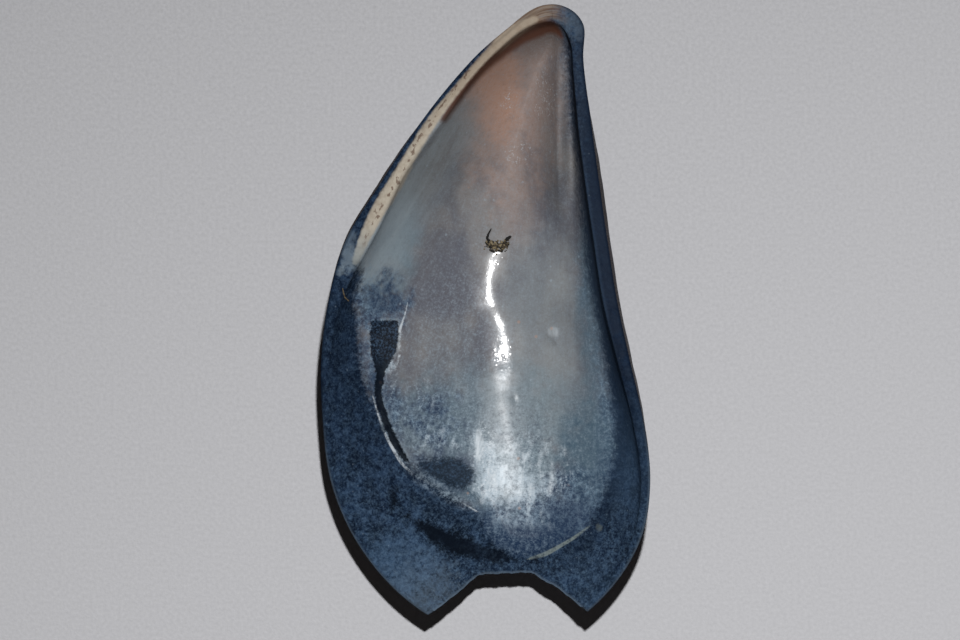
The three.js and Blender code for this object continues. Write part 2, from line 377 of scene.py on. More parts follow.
class Grid:
    """Square grid of one skin: plan places, turns, and the edge points that its rays run to."""

    def __init__(self, bowl, teeth, seed):
        line = np.linspace(-1, 1, CELLS + 1)
        a, b = np.meshgrid(line, line)
        self.turn = square_turn(a, b)
        ring = np.maximum(np.abs(a), np.abs(b))
        self.reach = 1 - (1 - ring) ** RIM_GATHER
        self.edge_x, self.edge_y = mouth(bowl, self.turn)
        share = break_share(self.edge_x, self.edge_y, jagged(self.turn, teeth, seed))
        self.broken = share < 1
        self.x = HEART[0] + (self.edge_x - HEART[0]) * share * self.reach
        self.y = HEART[1] + (self.edge_y - HEART[1]) * share * self.reach
        self.z = depth(bowl, self.x, self.y)
        self.z[ring == 1] = np.where(self.broken, self.z, 0)[ring == 1]


def border_loop():
    """Grid numbers of a skin's border, clockwise from its upper left corner."""
    number = np.arange((CELLS + 1) ** 2).reshape(CELLS + 1, CELLS + 1)
    return np.concatenate([number[-1, :-1], number[:0:-1, -1], number[0, :0:-1], number[:-1, 0]])


def skin_faces(first, up):
    """Triangles of a skin, split along the diagonal that points away from its middle."""
    number = first + np.arange((CELLS + 1) ** 2).reshape(CELLS + 1, CELLS + 1)
    a, b, c, d = number[:-1, :-1], number[:-1, 1:], number[1:, 1:], number[1:, :-1]
    low = np.arange(CELLS) * 2 < CELLS
    leaning = (low[None, :] == low[:, None])[..., None]
    first_half = np.where(leaning, np.stack([a, b, c], -1), np.stack([b, c, d], -1))
    second_half = np.where(leaning, np.stack([a, c, d], -1), np.stack([b, d, a], -1))
    faces = np.concatenate([first_half.reshape(-1, 3), second_half.reshape(-1, 3)])
    return faces if up else faces[:, ::-1]


def growth(y, z):
    """Share of full size at which the margin passed a point, and the point's reach from the beak."""
    back = BACK["length"] / 2 - y
    rolled = np.arctan2(-z, back)
    return np.exp(-SPIRAL_RATE * rolled), np.hypot(z, back)


def back_relief(grid, sizes):
    """Ridges where growth paused and fine lines between them, as a height along the outward normal."""
    size, arm = growth(grid.y, grid.z)
    fade = ease(arm, *RIDGE_FADE)
    height = np.zeros(size.shape)
    for pause in RIDGE_SIZES:
        away = (np.log(pause) - np.log(size)) / SPIRAL_RATE * arm / sizes.ridge_width
        height += sizes.ridge_height * np.exp(-away ** 2)
    lines = ripple(size, 0 * size, GROWTH_WAVES)
    worn = 1 - ease(arm, *WORN_BEAK)
    pits = ripple(grid.x, grid.y, WORN_WAVES)
    return fade * height + sizes.growth_line * fade * lines - worn * sizes.growth_line * (WORN_DEPTH + pits)


def hollow_floor(x, y, fields):
    """Height of the hollow: its deepest line astray, floor raised under the pearl and wall eased.

    Under the hinge plate the wall keeps above a slope from the lip: the softened greater of both heights.
    """
    tables = WANDER, FLOOR_RISE
    stray, rise = (through(*table.T, np.clip(y, table[0, 0], table[-1, 0])) for table in tables)
    height = depth(HOLLOW, x - stray * ease(fields["rim"], *STRAY_FROM), y)
    height = height + rise * ease(fields["pearl"], *RISE_FROM)
    slope = WALL_SLOPE * fields["lip"] / (1 + fields["lip"] / WALL_EASE)
    soft = WALL_SOFTNESS * ease(fields["lip"], 0, 1)
    eased = (height - slope + np.sqrt((height + slope) ** 2 + soft ** 2)) / 2
    return height + (eased - height) * ease(y, *WALL_FROM) * ease(-x, *WALL_SIDE)


def hollow_relief(x, y, fields, sizes):
    """Steps, grooves and bumps of the inside, as a height out of the hollow."""
    crisp = ease(-x, *CRISP_SIDE)
    pearl = crisp * ease(fields["pearl"], *CRISP_STEP) + (1 - crisp) * ease(fields["pearl"], *SOFT_STEP)
    pearl = pearl * ease(y, *STEP_END)
    scar = ease(-fields["scar"], *SCAR_SIDE)
    crescent = ease(-fields["crescent"], *CRESCENT_SIDE)
    wall = ease(fields["rim"], *SWELL_FROM)
    swell = ripple(x, y, SWELL_WAVES)
    folds = ripple(x, y, FOLD_WAVES)
    folded = ease(y, *FOLDS_FROM) * ease(y, *FOLDS_TO) * ease(-x, *FOLDS_SIDE)
    height = sizes.pearl_step * pearl - sizes.groove_depth * scar
    height -= CRESCENT_SHARE * sizes.groove_depth * crescent
    height += wall * (sizes.swell * swell + FOLD_SHARE * sizes.swell * folded * folds)
    for bx, by, radius, tall in PEARL_BUMPS:
        height += tall * np.exp(-((x - bx) ** 2 + (y - by) ** 2) / radius ** 2)
    return height


def rim_crown(turn, broken, s, sizes):
    """Rounded back of the rim, s from 0 outside to 1 inside, high along the hinge ridge."""
    y = mouth(BACK, turn)[1]
    hinge = (np.sin(turn) < 0) * (1 - ease(BACK["length"] / 2 - y, *HINGE_REACH))
    plain = sizes.rim_crown * np.sin(np.pi * s) ** RIM_POWER
    ridge = sizes.hinge_crown * (ease(s, *RIDGE_OUTER) * ease(s, *RIDGE_INNER))
    return np.where(broken, 0, plain * (1 - hinge) + ridge * hinge)


def normals_of(points, faces):
    """Unit normals at the points: the mean of the faces round each, weighted by their areas."""
    a, b, c = (points[faces[:, k]] for k in range(3))
    flat = np.cross(b - a, c - a)
    total = np.zeros(points.shape)
    for k in range(3):
        np.add.at(total, faces[:, k], flat)
    return total / np.maximum(np.linalg.norm(total, axis=1, keepdims=True), 1e-12)


def inside_fields(x, y, rim, lip):
    """Distances that the inside's relief and finish are drawn by. Rim and lip are points of edges."""
    return {
        "rim": from_edge(rim, x, y),
        "lip": from_edge(lip, x, y),
        "pearl": within(PEARL_OUTLINE, x, y),
        "scar": np.minimum(-within(SCAR_OUTLINE, x, y), stroke(GROOVE, x, y)),
        "crescent": np.minimum(stroke(CRESCENT, x, y), stroke(CRESCENT_SPOT, x, y)),
        "patch": stroke(GREY_PATCH, x, y),
        "hinge_shade": stroke(HINGE_SHADE, x, y),
        "strip": stroke(PALE_STRIP, x, y),
    }


def rested(points):
    """Tips points of the margin plane into the resting pose, in metres."""
    x, y, z = points.T
    y, z = y * np.cos(REST_PITCH) - z * np.sin(REST_PITCH), y * np.sin(REST_PITCH) + z * np.cos(REST_PITCH)
    x, z = x * np.cos(REST_ROLL) + z * np.sin(REST_ROLL), z * np.cos(REST_ROLL) - x * np.sin(REST_ROLL)
    return np.stack([x, y, z], -1) * MM


def frame_shift(points):
    """Move that sets the resting valve's box over the frame's: centres in plan and the tops level."""
    low, high = points.min(0), points.max(0)
    shift = (np.array(CAD_LOW) + np.array(CAD_HIGH) - low - high) / 2
    shift[2] = CAD_HIGH[2] - high[2]
    return shift


def rim_rows(back_points, hollow_points, loop, grid, sizes):
    """Points of the rim, in rows from border to border that bulge upwards, and triangles between them."""
    count = len(back_points) + len(hollow_points)
    turn, broken = grid.turn.ravel()[loop], grid.broken.ravel()[loop]
    rows, points, faces = [loop], [], []
    for r in range(1, RIM_ROWS):
        s = r / RIM_ROWS
        row = back_points[loop] * (1 - s) + hollow_points[loop] * s
        row[:, 2] += rim_crown(turn, broken, s, sizes)
        points.append(row)
        rows.append(count + (r - 1) * len(loop) + np.arange(len(loop)))
    rows.append(loop + len(back_points))
    for outer, inner in zip(rows, rows[1:]):
        next_outer, next_inner = np.roll(outer, -1), np.roll(inner, -1)
        faces += [np.stack([outer, next_inner, next_outer], -1), np.stack([outer, inner, next_inner], -1)]
    return np.concatenate(points), np.concatenate(faces)


def finish_fields(points, inner, edges):
    """What the finishes read at each point: distances on the inside, growth, pale lines and hinge ridge."""
    x, y, z = points.T
    fields = {}
    for key, values in inside_fields(x[inner], y[inner], *edges).items():
        fields[key] = np.full(len(points), FAR)
        fields[key][inner] = values
    fields["growth"], fields["arm"] = growth(y, z)
    fields["drop"] = np.maximum(-z, 0)
    fields["ray"] = np.arctan2(x - mouth(BACK, np.zeros(1))[0], BACK["length"] / 2 + RAY_RISE - y)
    fields["pale_line"] = pale_line(x, y)
    offset, breadth, run = nearest(RIDGE, x, y)
    fields["ridge"] = np.stack([np.abs(offset) - breadth, offset, run], -1)
    return fields


def valve_surface(sizes):
    """The whole valve: points in metres, triangles, fields for the finish, and which faces are outside.

    Back and hollow are height fields over the same square grid, joined by the rows of the rim.
    """
    back, hollow = (Grid(bowl, sizes.tooth, seed) for bowl, seed in zip((BACK, HOLLOW), TOOTH_SEEDS))
    loop = border_loop()
    edges = []
    for grid in (back, hollow):
        edges.append(np.stack([grid.x.ravel()[loop], grid.y.ravel()[loop]], -1)[::EDGE_STRIDE])
    fields = inside_fields(hollow.x, hollow.y, *edges)
    floor = np.where(hollow.reach < 1, hollow_floor(hollow.x, hollow.y, fields), hollow.z)
    floor = floor + hollow_relief(hollow.x, hollow.y, fields, sizes)
    hollow_points = np.stack([hollow.x, hollow.y, floor], -1).reshape(-1, 3)
    back_points = np.stack([back.x, back.y, back.z], -1).reshape(-1, 3)
    back_faces = skin_faces(0, up=False)
    lift = back_relief(back, sizes).ravel()
    lift[loop] = 0
    back_points += normals_of(back_points, back_faces) * lift[:, None]

    rim_points, rim_faces = rim_rows(back_points, hollow_points, loop, back, sizes)
    points = np.concatenate([back_points, hollow_points, rim_points])
    faces = np.concatenate([back_faces, skin_faces(len(back_points), up=True), rim_faces])
    outside = np.arange(len(faces)) < len(back_faces)
    inner = np.concatenate([loop, np.arange(len(back_points), len(points))])
    placed = rested(points)
    placed += frame_shift(placed)
    placed[:, 2] = np.maximum(placed[:, 2], 0)
    return placed, faces, finish_fields(points, inner, edges), outside


# Shape: crumbs of dirt

# A crumb's mesh, strokes of crumbs as places with the half breadth there, rows of them with their count and
# tone, and the loose pile's count, grain sizes and seeds.
CRUMB_RINGS = 5
CRUMB_SIDES = 8
HOOK = [(0.7, 10.05, 0.07), (0.45, 9.6, 0.12), (0.25, 9, 0.16), (0.4, 8.5, 0.16)]
STUB = [(2.95, 9.15, 0.15), (2.7, 8.95, 0.2), (2.45, 8.75, 0.14)]
PILE = [(0.4, 8.4, 0.4), (0.8, 8, 0.6), (1.5, 7.9, 0.75), (2.1, 8, 0.6), (2.5, 8.4, 0.35)]
THREAD = [(-16.3, 2.9, 0.06), (-16.2, 2.4, 0.08), (-16.1, 1.9, 0.09), (-15.7, 1.5, 0.07)]
CRUMB_ROWS = ((HOOK, 16, 0.0), (STUB, 9, 0.05), (THREAD, 22, 0.72))
ROW_FLATNESS = 0.8
PILE_COUNT = 330
PILE_SPREAD = (0.5, 0.42)
GRAIN_LEAST = 0.05
GRAIN_RANGE = 0.12
LUMPINESS = 0.3
CRUMB_FLATNESS = (1, 1, 0.9)
CRUMB_LIFT = 0.35
DROP_HEIGHT = 0.1
PLACE_SEED = 11
LUMP_SEED = 5


def crumb_ball():
    """Unit ball as rings of points between two poles, with its triangles wound outwards."""
    rise = np.linspace(-np.pi / 2, np.pi / 2, CRUMB_RINGS + 2)[1:-1]
    round_ = np.arange(CRUMB_SIDES) * 2 * np.pi / CRUMB_SIDES
    lift, turn = np.meshgrid(rise, round_, indexing="ij")
    rings = np.stack([np.cos(lift) * np.cos(turn), np.cos(lift) * np.sin(turn), np.sin(lift)], -1)
    points = np.concatenate([rings.reshape(-1, 3), [(0, 0, -1), (0, 0, 1)]])
    number = np.arange(CRUMB_RINGS * CRUMB_SIDES).reshape(CRUMB_RINGS, CRUMB_SIDES)
    onward = np.roll(number, -1, axis=1)
    a, b, c, d = number[:-1], onward[:-1], onward[1:], number[1:]
    foot, head = np.full(CRUMB_SIDES, number.size), np.full(CRUMB_SIDES, number.size + 1)
    faces = [np.stack(corners, -1).reshape(-1, 3) for corners in (
        (a, b, c), (a, c, d), (foot, onward[0], number[0]), (head, number[-1], onward[-1]),
    )]
    return points, np.concatenate(faces)


def along(marks, at):
    """Places and half breadths at numbers along a row of marks."""
    return [np.interp(at, range(len(marks)), column) for column in np.array(marks).T]


def crumb_places():
    """Plan place, half breadth, tone and flatness of every crumb: hook, stub, thread and loose pile."""
    chance = np.random.default_rng(PLACE_SEED)
    rows = []
    for marks, count, tone in CRUMB_ROWS:
        x, y, half = along(marks, np.linspace(0, len(marks) - 1, count))
        rows.append(np.stack([x, y, half, np.full(count, tone), np.full(count, ROW_FLATNESS)], -1))
    x, y, spread = along(PILE, chance.uniform(0, len(PILE) - 1, PILE_COUNT))
    x = x + spread * chance.normal(0, PILE_SPREAD[0], PILE_COUNT)
    y = y + spread * chance.normal(0, PILE_SPREAD[1], PILE_COUNT)
    half = GRAIN_LEAST + GRAIN_RANGE * chance.uniform(0, 1, PILE_COUNT) ** 2
    tone = chance.uniform(0, 1, PILE_COUNT)
    rows.append(np.stack([x, y, half, tone, chance.uniform(0.5, 1, PILE_COUNT)], -1))
    return np.concatenate(rows)


def crumb_surface(valve):
    """All crumbs as one set of points in metres, triangles and tones: lumpy balls dropped on the valve."""
    chance = np.random.default_rng(LUMP_SEED)
    ball, faces = crumb_ball()
    places = crumb_places()
    count = len(places)
    half, tone, flatness = (places[:, None, k] for k in (2, 3, 4))
    lumps = 1 + chance.uniform(-LUMPINESS, LUMPINESS, (count, len(ball), 1))
    points = ball[None] * lumps * (half[..., None] * np.ones(3) * CRUMB_FLATNESS)
    points[..., 2] *= flatness
    ground = []
    for x, y in places[:, :2] * MM:
        hit, place, _, _ = valve.ray_cast((x, y, DROP_HEIGHT), (0, 0, -1))
        if not hit:
            raise RuntimeError("a crumb lies outside the valve")
        ground.append(place[2])
    points[..., :2] += places[:, None, :2]
    points[..., 2] += np.array(ground)[:, None] / MM + CRUMB_LIFT * half
    every = (faces[None] + np.arange(count)[:, None, None] * len(ball)).reshape(-1, 3)
    return points.reshape(-1, 3) * MM, every, np.repeat(tone, len(ball))


# Meshes

def mesh_object(name, points, faces, materials, face_material=None):
    """Object at the origin with a smooth mesh of the given triangles."""
    mesh = bpy.data.meshes.new(name)
    mesh.vertices.add(len(points))
    mesh.vertices.foreach_set("co", points.astype(np.float32).ravel())
    mesh.loops.add(faces.size)
    mesh.loops.foreach_set("vertex_index", faces.astype(np.int32).ravel())
    mesh.polygons.add(len(faces))
    mesh.polygons.foreach_set("loop_start", np.arange(0, faces.size, 3, dtype=np.int32))
    if face_material is not None:
        mesh.polygons.foreach_set("material_index", face_material.astype(np.int32))
    for material in materials:
        mesh.materials.append(material)
    mesh.update(calc_edges=True)
    mesh.polygons.foreach_set("use_smooth", np.ones(len(faces), bool))
    if mesh.validate():
        raise RuntimeError(f"the mesh of {name} has faults")
    piece = bpy.data.objects.new(name, mesh)
    bpy.context.scene.collection.objects.link(piece)
    return piece


def put_field(piece, name, values):
    """Stores one number, or three, at each point of a piece."""
    three = values.ndim == 2
    kind, key = ("FLOAT_VECTOR", "vector") if three else ("FLOAT", "value")
    field = piece.data.attributes.new(name, kind, "POINT")
    field.data.foreach_set(key, values.astype(np.float32).ravel())


# Finishes

class Wire:
    """A shader socket. Arithmetic on wires adds Math nodes to their material."""

    def __init__(self, look, socket):
        self.look = look
        self.socket = socket

    def math(self, operation, *others):
        return self.look.math(operation, self, *others)

    def __add__(self, other):
        return self.math("ADD", other)

    def __sub__(self, other):
        return self.math("SUBTRACT", other)

    def __rsub__(self, other):
        return self.look.math("SUBTRACT", other, self)

    def __mul__(self, other):
        return self.math("MULTIPLY", other)

    def __pow__(self, other):
        return self.math("POWER", other)

    def __abs__(self):
        return self.math("ABSOLUTE")

    __radd__ = __add__
    __rmul__ = __mul__

    def swing(self, size):
        """This noise as a swing about zero, by at most half the size."""
        return (self - 0.5) * size

    def ease(self, low, high):
        """Smooth step of this value, from 0 at low to 1 at high, or falling where low is above high."""
        flip = low > high
        ends = (high, low) if flip else (low, high)
        inputs = {"Value": self, "From Min": ends[0], "From Max": ends[1]}
        step = self.look.node("ShaderNodeMapRange", {"interpolation_type": "SMOOTHSTEP"}, inputs)
        return 1 - step if flip else step


class Nodes:
    """A node tree in the making."""

    def __init__(self, tree):
        self.tree = tree
        self.tree.nodes.clear()

    def node(self, kind, settings=None, inputs=None, output=0):
        """New node: its settings are set first, then its sockets are linked or given values."""
        made = self.tree.nodes.new(kind)
        for key, value in (settings or {}).items():
            setattr(made, key, value)
        for key, value in (inputs or {}).items():
            self.feed(made.inputs[key], value)
        return None if output is None else Wire(self, made.outputs[output])

    def feed(self, socket, value):
        if isinstance(value, Wire):
            self.tree.links.new(value.socket, socket)
        else:
            socket.default_value = value

    def math(self, operation, *values):
        return self.node("ShaderNodeMath", {"operation": operation}, dict(enumerate(values)))

    def axes(self, vector):
        return [self.node("ShaderNodeSeparateXYZ", inputs={0: vector}, output=k) for k in range(3)]


class Look(Nodes):
    """A material in the making. Places are in millimetres."""

    def __init__(self, name):
        self.material = bpy.data.materials.new(name)
        self.material.use_nodes = True
        super().__init__(self.material.node_tree)
        place = self.node("ShaderNodeTexCoord", output="Object")
        scaled = {"Vector": place, "Scale": 1 / MM}
        self.place = self.node("ShaderNodeVectorMath", {"operation": "SCALE"}, scaled)
        self.x, self.y, _ = self.axes(self.place)

    def mix(self, share, a, b):
        """Colour a turning into colour b as share goes from 0 to 1."""
        inputs = {0: share, 6: shade(a), 7: shade(b)}
        return self.node("ShaderNodeMix", {"data_type": "RGBA"}, inputs, 2)

    def noise(self, scale, detail=3.0, rough=0.6, place=None):
        """Cloudy noise from 0 to 1, with about scale lumps to a millimetre."""
        inputs = {"Vector": place or self.place, "Scale": scale, "Detail": detail, "Roughness": rough}
        return self.node("ShaderNodeTexNoise", {"noise_dimensions": "3D"}, inputs)

    def vector(self, operation, a, b, output=0):
        return self.node("ShaderNodeVectorMath", {"operation": operation}, {0: a, 1: b}, output)

    def spread(self, a, b):
        """Two values as a place, for a noise drawn over them."""
        return self.node("ShaderNodeCombineXYZ", inputs={0: a, 1: b})

    def field(self, name, output="Fac"):
        return self.node("ShaderNodeAttribute", {"attribute_name": name}, output=output)

    def spot(self, x, y, across, along, ragged=None):
        """Soft spot over the plan, 1 at its middle and 0 at the half breadths, its side ragged by noise."""
        away = self.vector("SUBTRACT", self.place, (x, y, 0))
        away = self.vector("MULTIPLY", away, (1 / across, 1 / along, 0))
        far = self.vector("DOT_PRODUCT", away, away, "Value")
        if ragged is not None:
            far = far + ragged.swing(2.4)
        return far.ease(1, 0)

    def cover(self, zones):
        """How far a set of zones covers a place: the sum of their soft spots, at most 1."""
        return sum(self.spot(*place) * strength for *place, strength in zones).math("MINIMUM", 1)

    def marbled(self, zones, grain):
        """Cover of a set of zones broken into blotches: a noise, lifted where the zones lie and eased."""
        cover = self.cover(zones)
        return (grain.swing(2.8) + cover - 0.62).ease(-0.4, 0.45) * cover.ease(0, 0.3)

    def layered(self, base, *layers):
        """Base colour with layers laid over it, one after the other, each a cover and a colour."""
        for cover, colour in layers:
            base = self.mix(cover, base, colour)
        return base

    def zoned(self, base, tint, zones, ragged):
        """Base colour with named tints laid over it in soft ragged zones, one after the other."""
        for name, *place, strength in zones:
            base = self.mix(self.spot(*place, ragged) * strength, base, getattr(tint, name))
        return base

    def dots(self, scale, size, share):
        """Round dots in a share of cells, with scale cells to a millimetre and size in cells."""
        cell = self.node("ShaderNodeTexVoronoi", inputs={"Vector": self.place, "Scale": scale})
        lot = self.axes(Wire(self, cell.socket.node.outputs["Color"]))[0]
        return cell.ease(size, size * 0.45) * lot.ease(1 - share, 1.02 - share)

    def rays(self, turns, reach):
        """Noise drawn out along the lines that run from beyond the beak."""
        across, back = self.x - RAY_APEX[0], RAY_APEX[1] - self.y
        angle, far = across.math("ARCTAN2", back), (across ** 2 + back ** 2) ** 0.5
        return self.noise(1, 3, 0.6, self.spread(angle * turns, far * reach))

    def surface(self, colour, roughness, height=None, **steady):
        """A Principled shader. Height is bump in millimetres. Steady values go on its own sockets."""
        inputs = {"Base Color": colour, "Roughness": roughness}
        if height is not None:
            bump = {"Height": height, "Distance": MM, "Strength": 1.0}
            inputs["Normal"] = self.node("ShaderNodeBump", inputs=bump)
        inputs.update({key.replace("_", " "): value for key, value in steady.items()})
        return self.node("ShaderNodeBsdfPrincipled", inputs=inputs)

    def finish(self, shader):
        """Puts a shader on the material's output."""
        self.node("ShaderNodeOutputMaterial", inputs={"Surface": shader}, output=None)
        return self.material


def shade(colour):
    """A wire as it is, or a colour property as four numbers."""
    return colour if isinstance(colour, Wire) else (*colour, 1)


# Where the rays of the inside meet, beyond the beak.
RAY_APEX = (9, 42)

# Soft zones and spots of the inside in plan: middle x and y, half breadths across and along, and in zones
# the strength.
PEARL_ZONES = [
    ("pearl_light", 7, -1, 7, 14, 0.6), ("pearl_light", -4.5, -4, 4.5, 5, 0.2),
    ("pearl_light", 9, -10, 4.5, 8, 0.4), ("pearl_violet", -6, 4.5, 6, 8, 0.75),
    ("pearl_rose", 2.5, 24, 8, 14, 0.9), ("pearl_rose", 6.4, 31, 3, 4, 0.8),
    ("pearl_shade", 6.5, 31.5, 4, 3, 0.35), ("pearl_shade", 8.6, 22, 3, 12, 0.4),
    ("pearl_orange", 1.4, 25.5, 3.8, 6.5, 0.8), ("pearl_rose", 4, 13, 4, 6, 0.35),
    ("pearl_blue", -10.5, 10, 3.6, 9, 0.8), ("pearl_blue", -13.3, 2.5, 1.8, 3.4, 0.8),
    ("pearl_deep", 12.6, 2, 2.6, 14, 0.8), ("pearl_blue", 1, -12, 15, 8, 0.6),
    ("pearl_blue", 2.5, -19, 8, 6, 0.7), ("pearl_deep", -5, -20, 6, 3, 0.9),
    ("pearl_deep", 12.5, -17, 5, 9, 0.9), ("pearl_deep", 4, -26, 12, 5, 0.9),
    ("pearl_deep", -6.5, -13.5, 7, 7, 0.55),
]
BLUE_ZONES = [
    (-11.8, 1.6, 4.6, 4.6, 0.95), (-13.3, -4, 2, 6, 0.8), (-11.8, -9.5, 2.4, 6, 0.9),
    (-6.6, -12.4, 7, 5.5, 0.75), (4.5, -25, 11, 5, 1), (12, -22, 6, 6, 0.9), (14.8, -13.5, 3, 11, 0.85),
    (9, -21, 7, 4, 0.5),
]
NAVY_ZONES = [
    (-5.2, -18.4, 6.5, 4, 0.85), (1, -26.8, 6.5, 3.6, 0.85), (10.5, -23.8, 6, 4, 0.55),
    (5.6, -27, 5, 2.8, 1), (-5, -11.8, 4, 3.5, 0.35), (-12.4, -9, 1.6, 5, 0.8),
    (-11.5, 2, 3.4, 3.2, 0.58), (13.6, -17, 2.4, 6, 0.55), (-0.5, -23.6, 2, 2, 0.6),
]
FROST_ZONES = [
    (-0.4, -15.8, 2, 3.6, 0.45), (0.4, -18.8, 2.6, 4.6, 0.6), (2.8, -20.4, 6.5, 3, 0.5),
    (5.8, -17.8, 7, 5.5, 0.46), (-2.4, -15, 2.6, 2.4, 0.25), (-5.9, -14.5, 5, 2, 0.3),
    (-7.8, -9.6, 3.4, 3, 0.26), (4.2, -24.6, 5.5, 2.6, 0.7), (-10.9, -7.5, 1.2, 3.4, 0.5),
]
GLARE_ZONES = [(-0.7, -15.4, 0.7, 2.4, 0.9), (8, -2.1, 0.9, 0.8, 0.3), (2.2, -8.6, 0.8, 0.6, 0.4)]
# Painted glints: white specks where the lamp would glance off the pearl under the beak, together with a few
# white specks elsewhere.
GLINT_AND_SPECK_ZONES = [
    (6.9, 25, 1.6, 4, 0.6), (2.7, 24.6, 1.3, 2, 0.6), (4, 19, 2.4, 2.2, 0.5), (-9.6, -2.4, 0.8, 2.5, 0.4),
    (0, -17, 2, 6, 0.8),
]
SHADED_SPOT = (-5.5, 16, 5, 8)
MARGIN_SPOT = (13, -14, 4.5, 11)
FOOT_SPOT = (5.5, -26.5, 8, 3.6)
GRITTY_SPOT = (-4, -3, 7, 10)
FUZZY_SPOT = (-4.6, -20, 5.5, 4)
BLISTER_SPOTS = ((2.1, -4.8, 1.6, 2.6), (1.7, 6.3, 1, 1))
BORDER_ZONES = [
    ("border_dark", -16.4, -5, 4, 12, 0.4), ("border_grey", 13.2, 13, 7, 37, 0.95),
    ("border_light", 17.5, -17, 4, 12, 0.15), ("worn_grey", -7.5, -33.5, 6, 7, 0.45),
    ("border_light", -10, -29, 6, 4.5, 0.4), ("border_light", 12, -31, 5, 5, 0.12),
    ("worn_grey", 10.2, 33.2, 3, 3, 0.35), ("worn_grey", -15.6, 7.4, 1.4, 4, 0.6),
    ("frost", -15.6, 6.2, 1.1, 2, 0.2), ("frost", -16.5, 4.9, 0.9, 0.7, 0.3),
    ("border_dark", -17.1, 6.6, 0.7, 2.4, 0.95), ("border_dark", -4.3, -22.8, 4, 2.6, 0.5),
    ("line_grey", 13.2, -24.8, 0.5, 0.6, 0.4),
]


class Grains:
    """The noises that the inside's colours share, from broad clouds to fine grain."""

    def __init__(self, look):
        self.fine = look.noise(4, 2, 0.7)
        self.grain = look.noise(1.4, 4, 0.65)
        self.mottle = look.noise(1.6, 4, 0.85)
        self.marble = look.noise(0.5, 6, 0.68)
        self.cloud = look.noise(0.5, 3)
        self.hue = look.noise(0.23, 2, 0.5, look.vector("MULTIPLY", look.place, (1, 0.55, 1)))
        self.ray = look.rays(22, 0.07)
        self.thread = look.rays(150, 0.35)
        self.wisp = look.rays(60, 0.3)


def pearl_colour(look, tint, grains):
    """Pearl: warm under the beak, violet and blue to the hinge side, bloom and blue mottling low down, with
    painted light on the wall beside the hinge ridge and painted glints.
    """
    fine, grain, mottle, marble = grains.fine, grains.grain, grains.mottle, grains.marble
    base = look.mix(grains.hue.ease(0.36, 0.7), tint.pearl_violet, tint.pearl)
    base = look.zoned(base, tint, PEARL_ZONES, grains.cloud * 0.5 + 0.25)
    beside, offset, run = look.axes(look.field("ridge", "Vector"))
    # Painted light on the steep wall beside the hinge ridge, which the lamp leaves dim: a pale teal to grey
    # band, broken by the rays.
    wall = beside.ease(6.2, 1.5) * run.ease(9, 17) * offset.ease(0, 0.4)
    sheen = look.mix(look.y.ease(9, 18), tint.painted_light_teal, tint.pearl_light)
    streak, thread = (noise.ease(0.35, 0.65) for noise in (grains.ray, grains.thread))

    low, cold = look.y.ease(-6, -14), look.y.ease(-20.5, -23.5)
    blue = (mottle - look.y.ease(-21, -25) * 0.05).ease(0.38, 0.78)
    blue = look.mix(blue, tint.border, tint.border_pale)
    side = (look.field("pearl") + grains.cloud.swing(3)).ease(2.2, 0) * mottle.ease(0.35, 0.65)
    bloom = look.marbled(FROST_ZONES, mottle * 0.5 + marble * 0.55 + grains.wisp * 0.55 - 0.3)
    frost = look.mix(cold * 0.55, tint.frost, tint.border_pale)
    white = look.mix(cold * 0.6, tint.white, tint.frost)
    snow = look.mix((fine * 0.5 + grains.wisp * 0.5).ease(0.42, 0.66), frost, white)
    navy = look.marbled(NAVY_ZONES, mottle * 0.4 + marble * 0.6)
    grit = 0.3 + low * (0.4 - look.x.ease(5, 10) * 0.3) + look.spot(*GRITTY_SPOT) * 0.2
    powder = (fine * 0.4 + mottle * 0.4 + grains.thread * 0.2).ease(0.42, 0.75)
    # Painted glints and white specks.
    glints_and_specks = look.cover(GLINT_AND_SPECK_ZONES) * fine.ease(0.5, 0.68) * grain.ease(0.47, 0.62)
    return look.layered(
        base,
        # painted light on the wall beside the hinge ridge
        (wall * (0.65 + streak * 0.3), sheen),
        ((1 - streak) * look.spot(*SHADED_SPOT) * 0.25, tint.pearl_shade),
        (look.marbled(BLUE_ZONES, marble) * 0.9, blue),
        (side * look.y.ease(12, 3) * 0.45, blue),
        (bloom * (0.7 + thread * 0.3), snow),
        (navy * 0.9, tint.border),
        (look.spot(*MARGIN_SPOT) * 0.5, tint.pearl_deep),
        (look.spot(*FOOT_SPOT) * 0.6, tint.border),
        (powder * grit, frost),
        (mottle.ease(0.5, 0.22) * grit, look.mix(low, tint.pearl_shade, tint.border)),
        # painted glints and white specks
        (glints_and_specks, tint.white),
        (look.dots(0.9, 0.2, 0.2) * grain.ease(0.4, 0.6) * 0.35, tint.frost),
        (look.dots(0.5, 0.13, 0.14) * 0.35, tint.pearl_orange),
        (look.cover(GLARE_ZONES) * (0.35 + thread * 0.7), tint.white),
    )


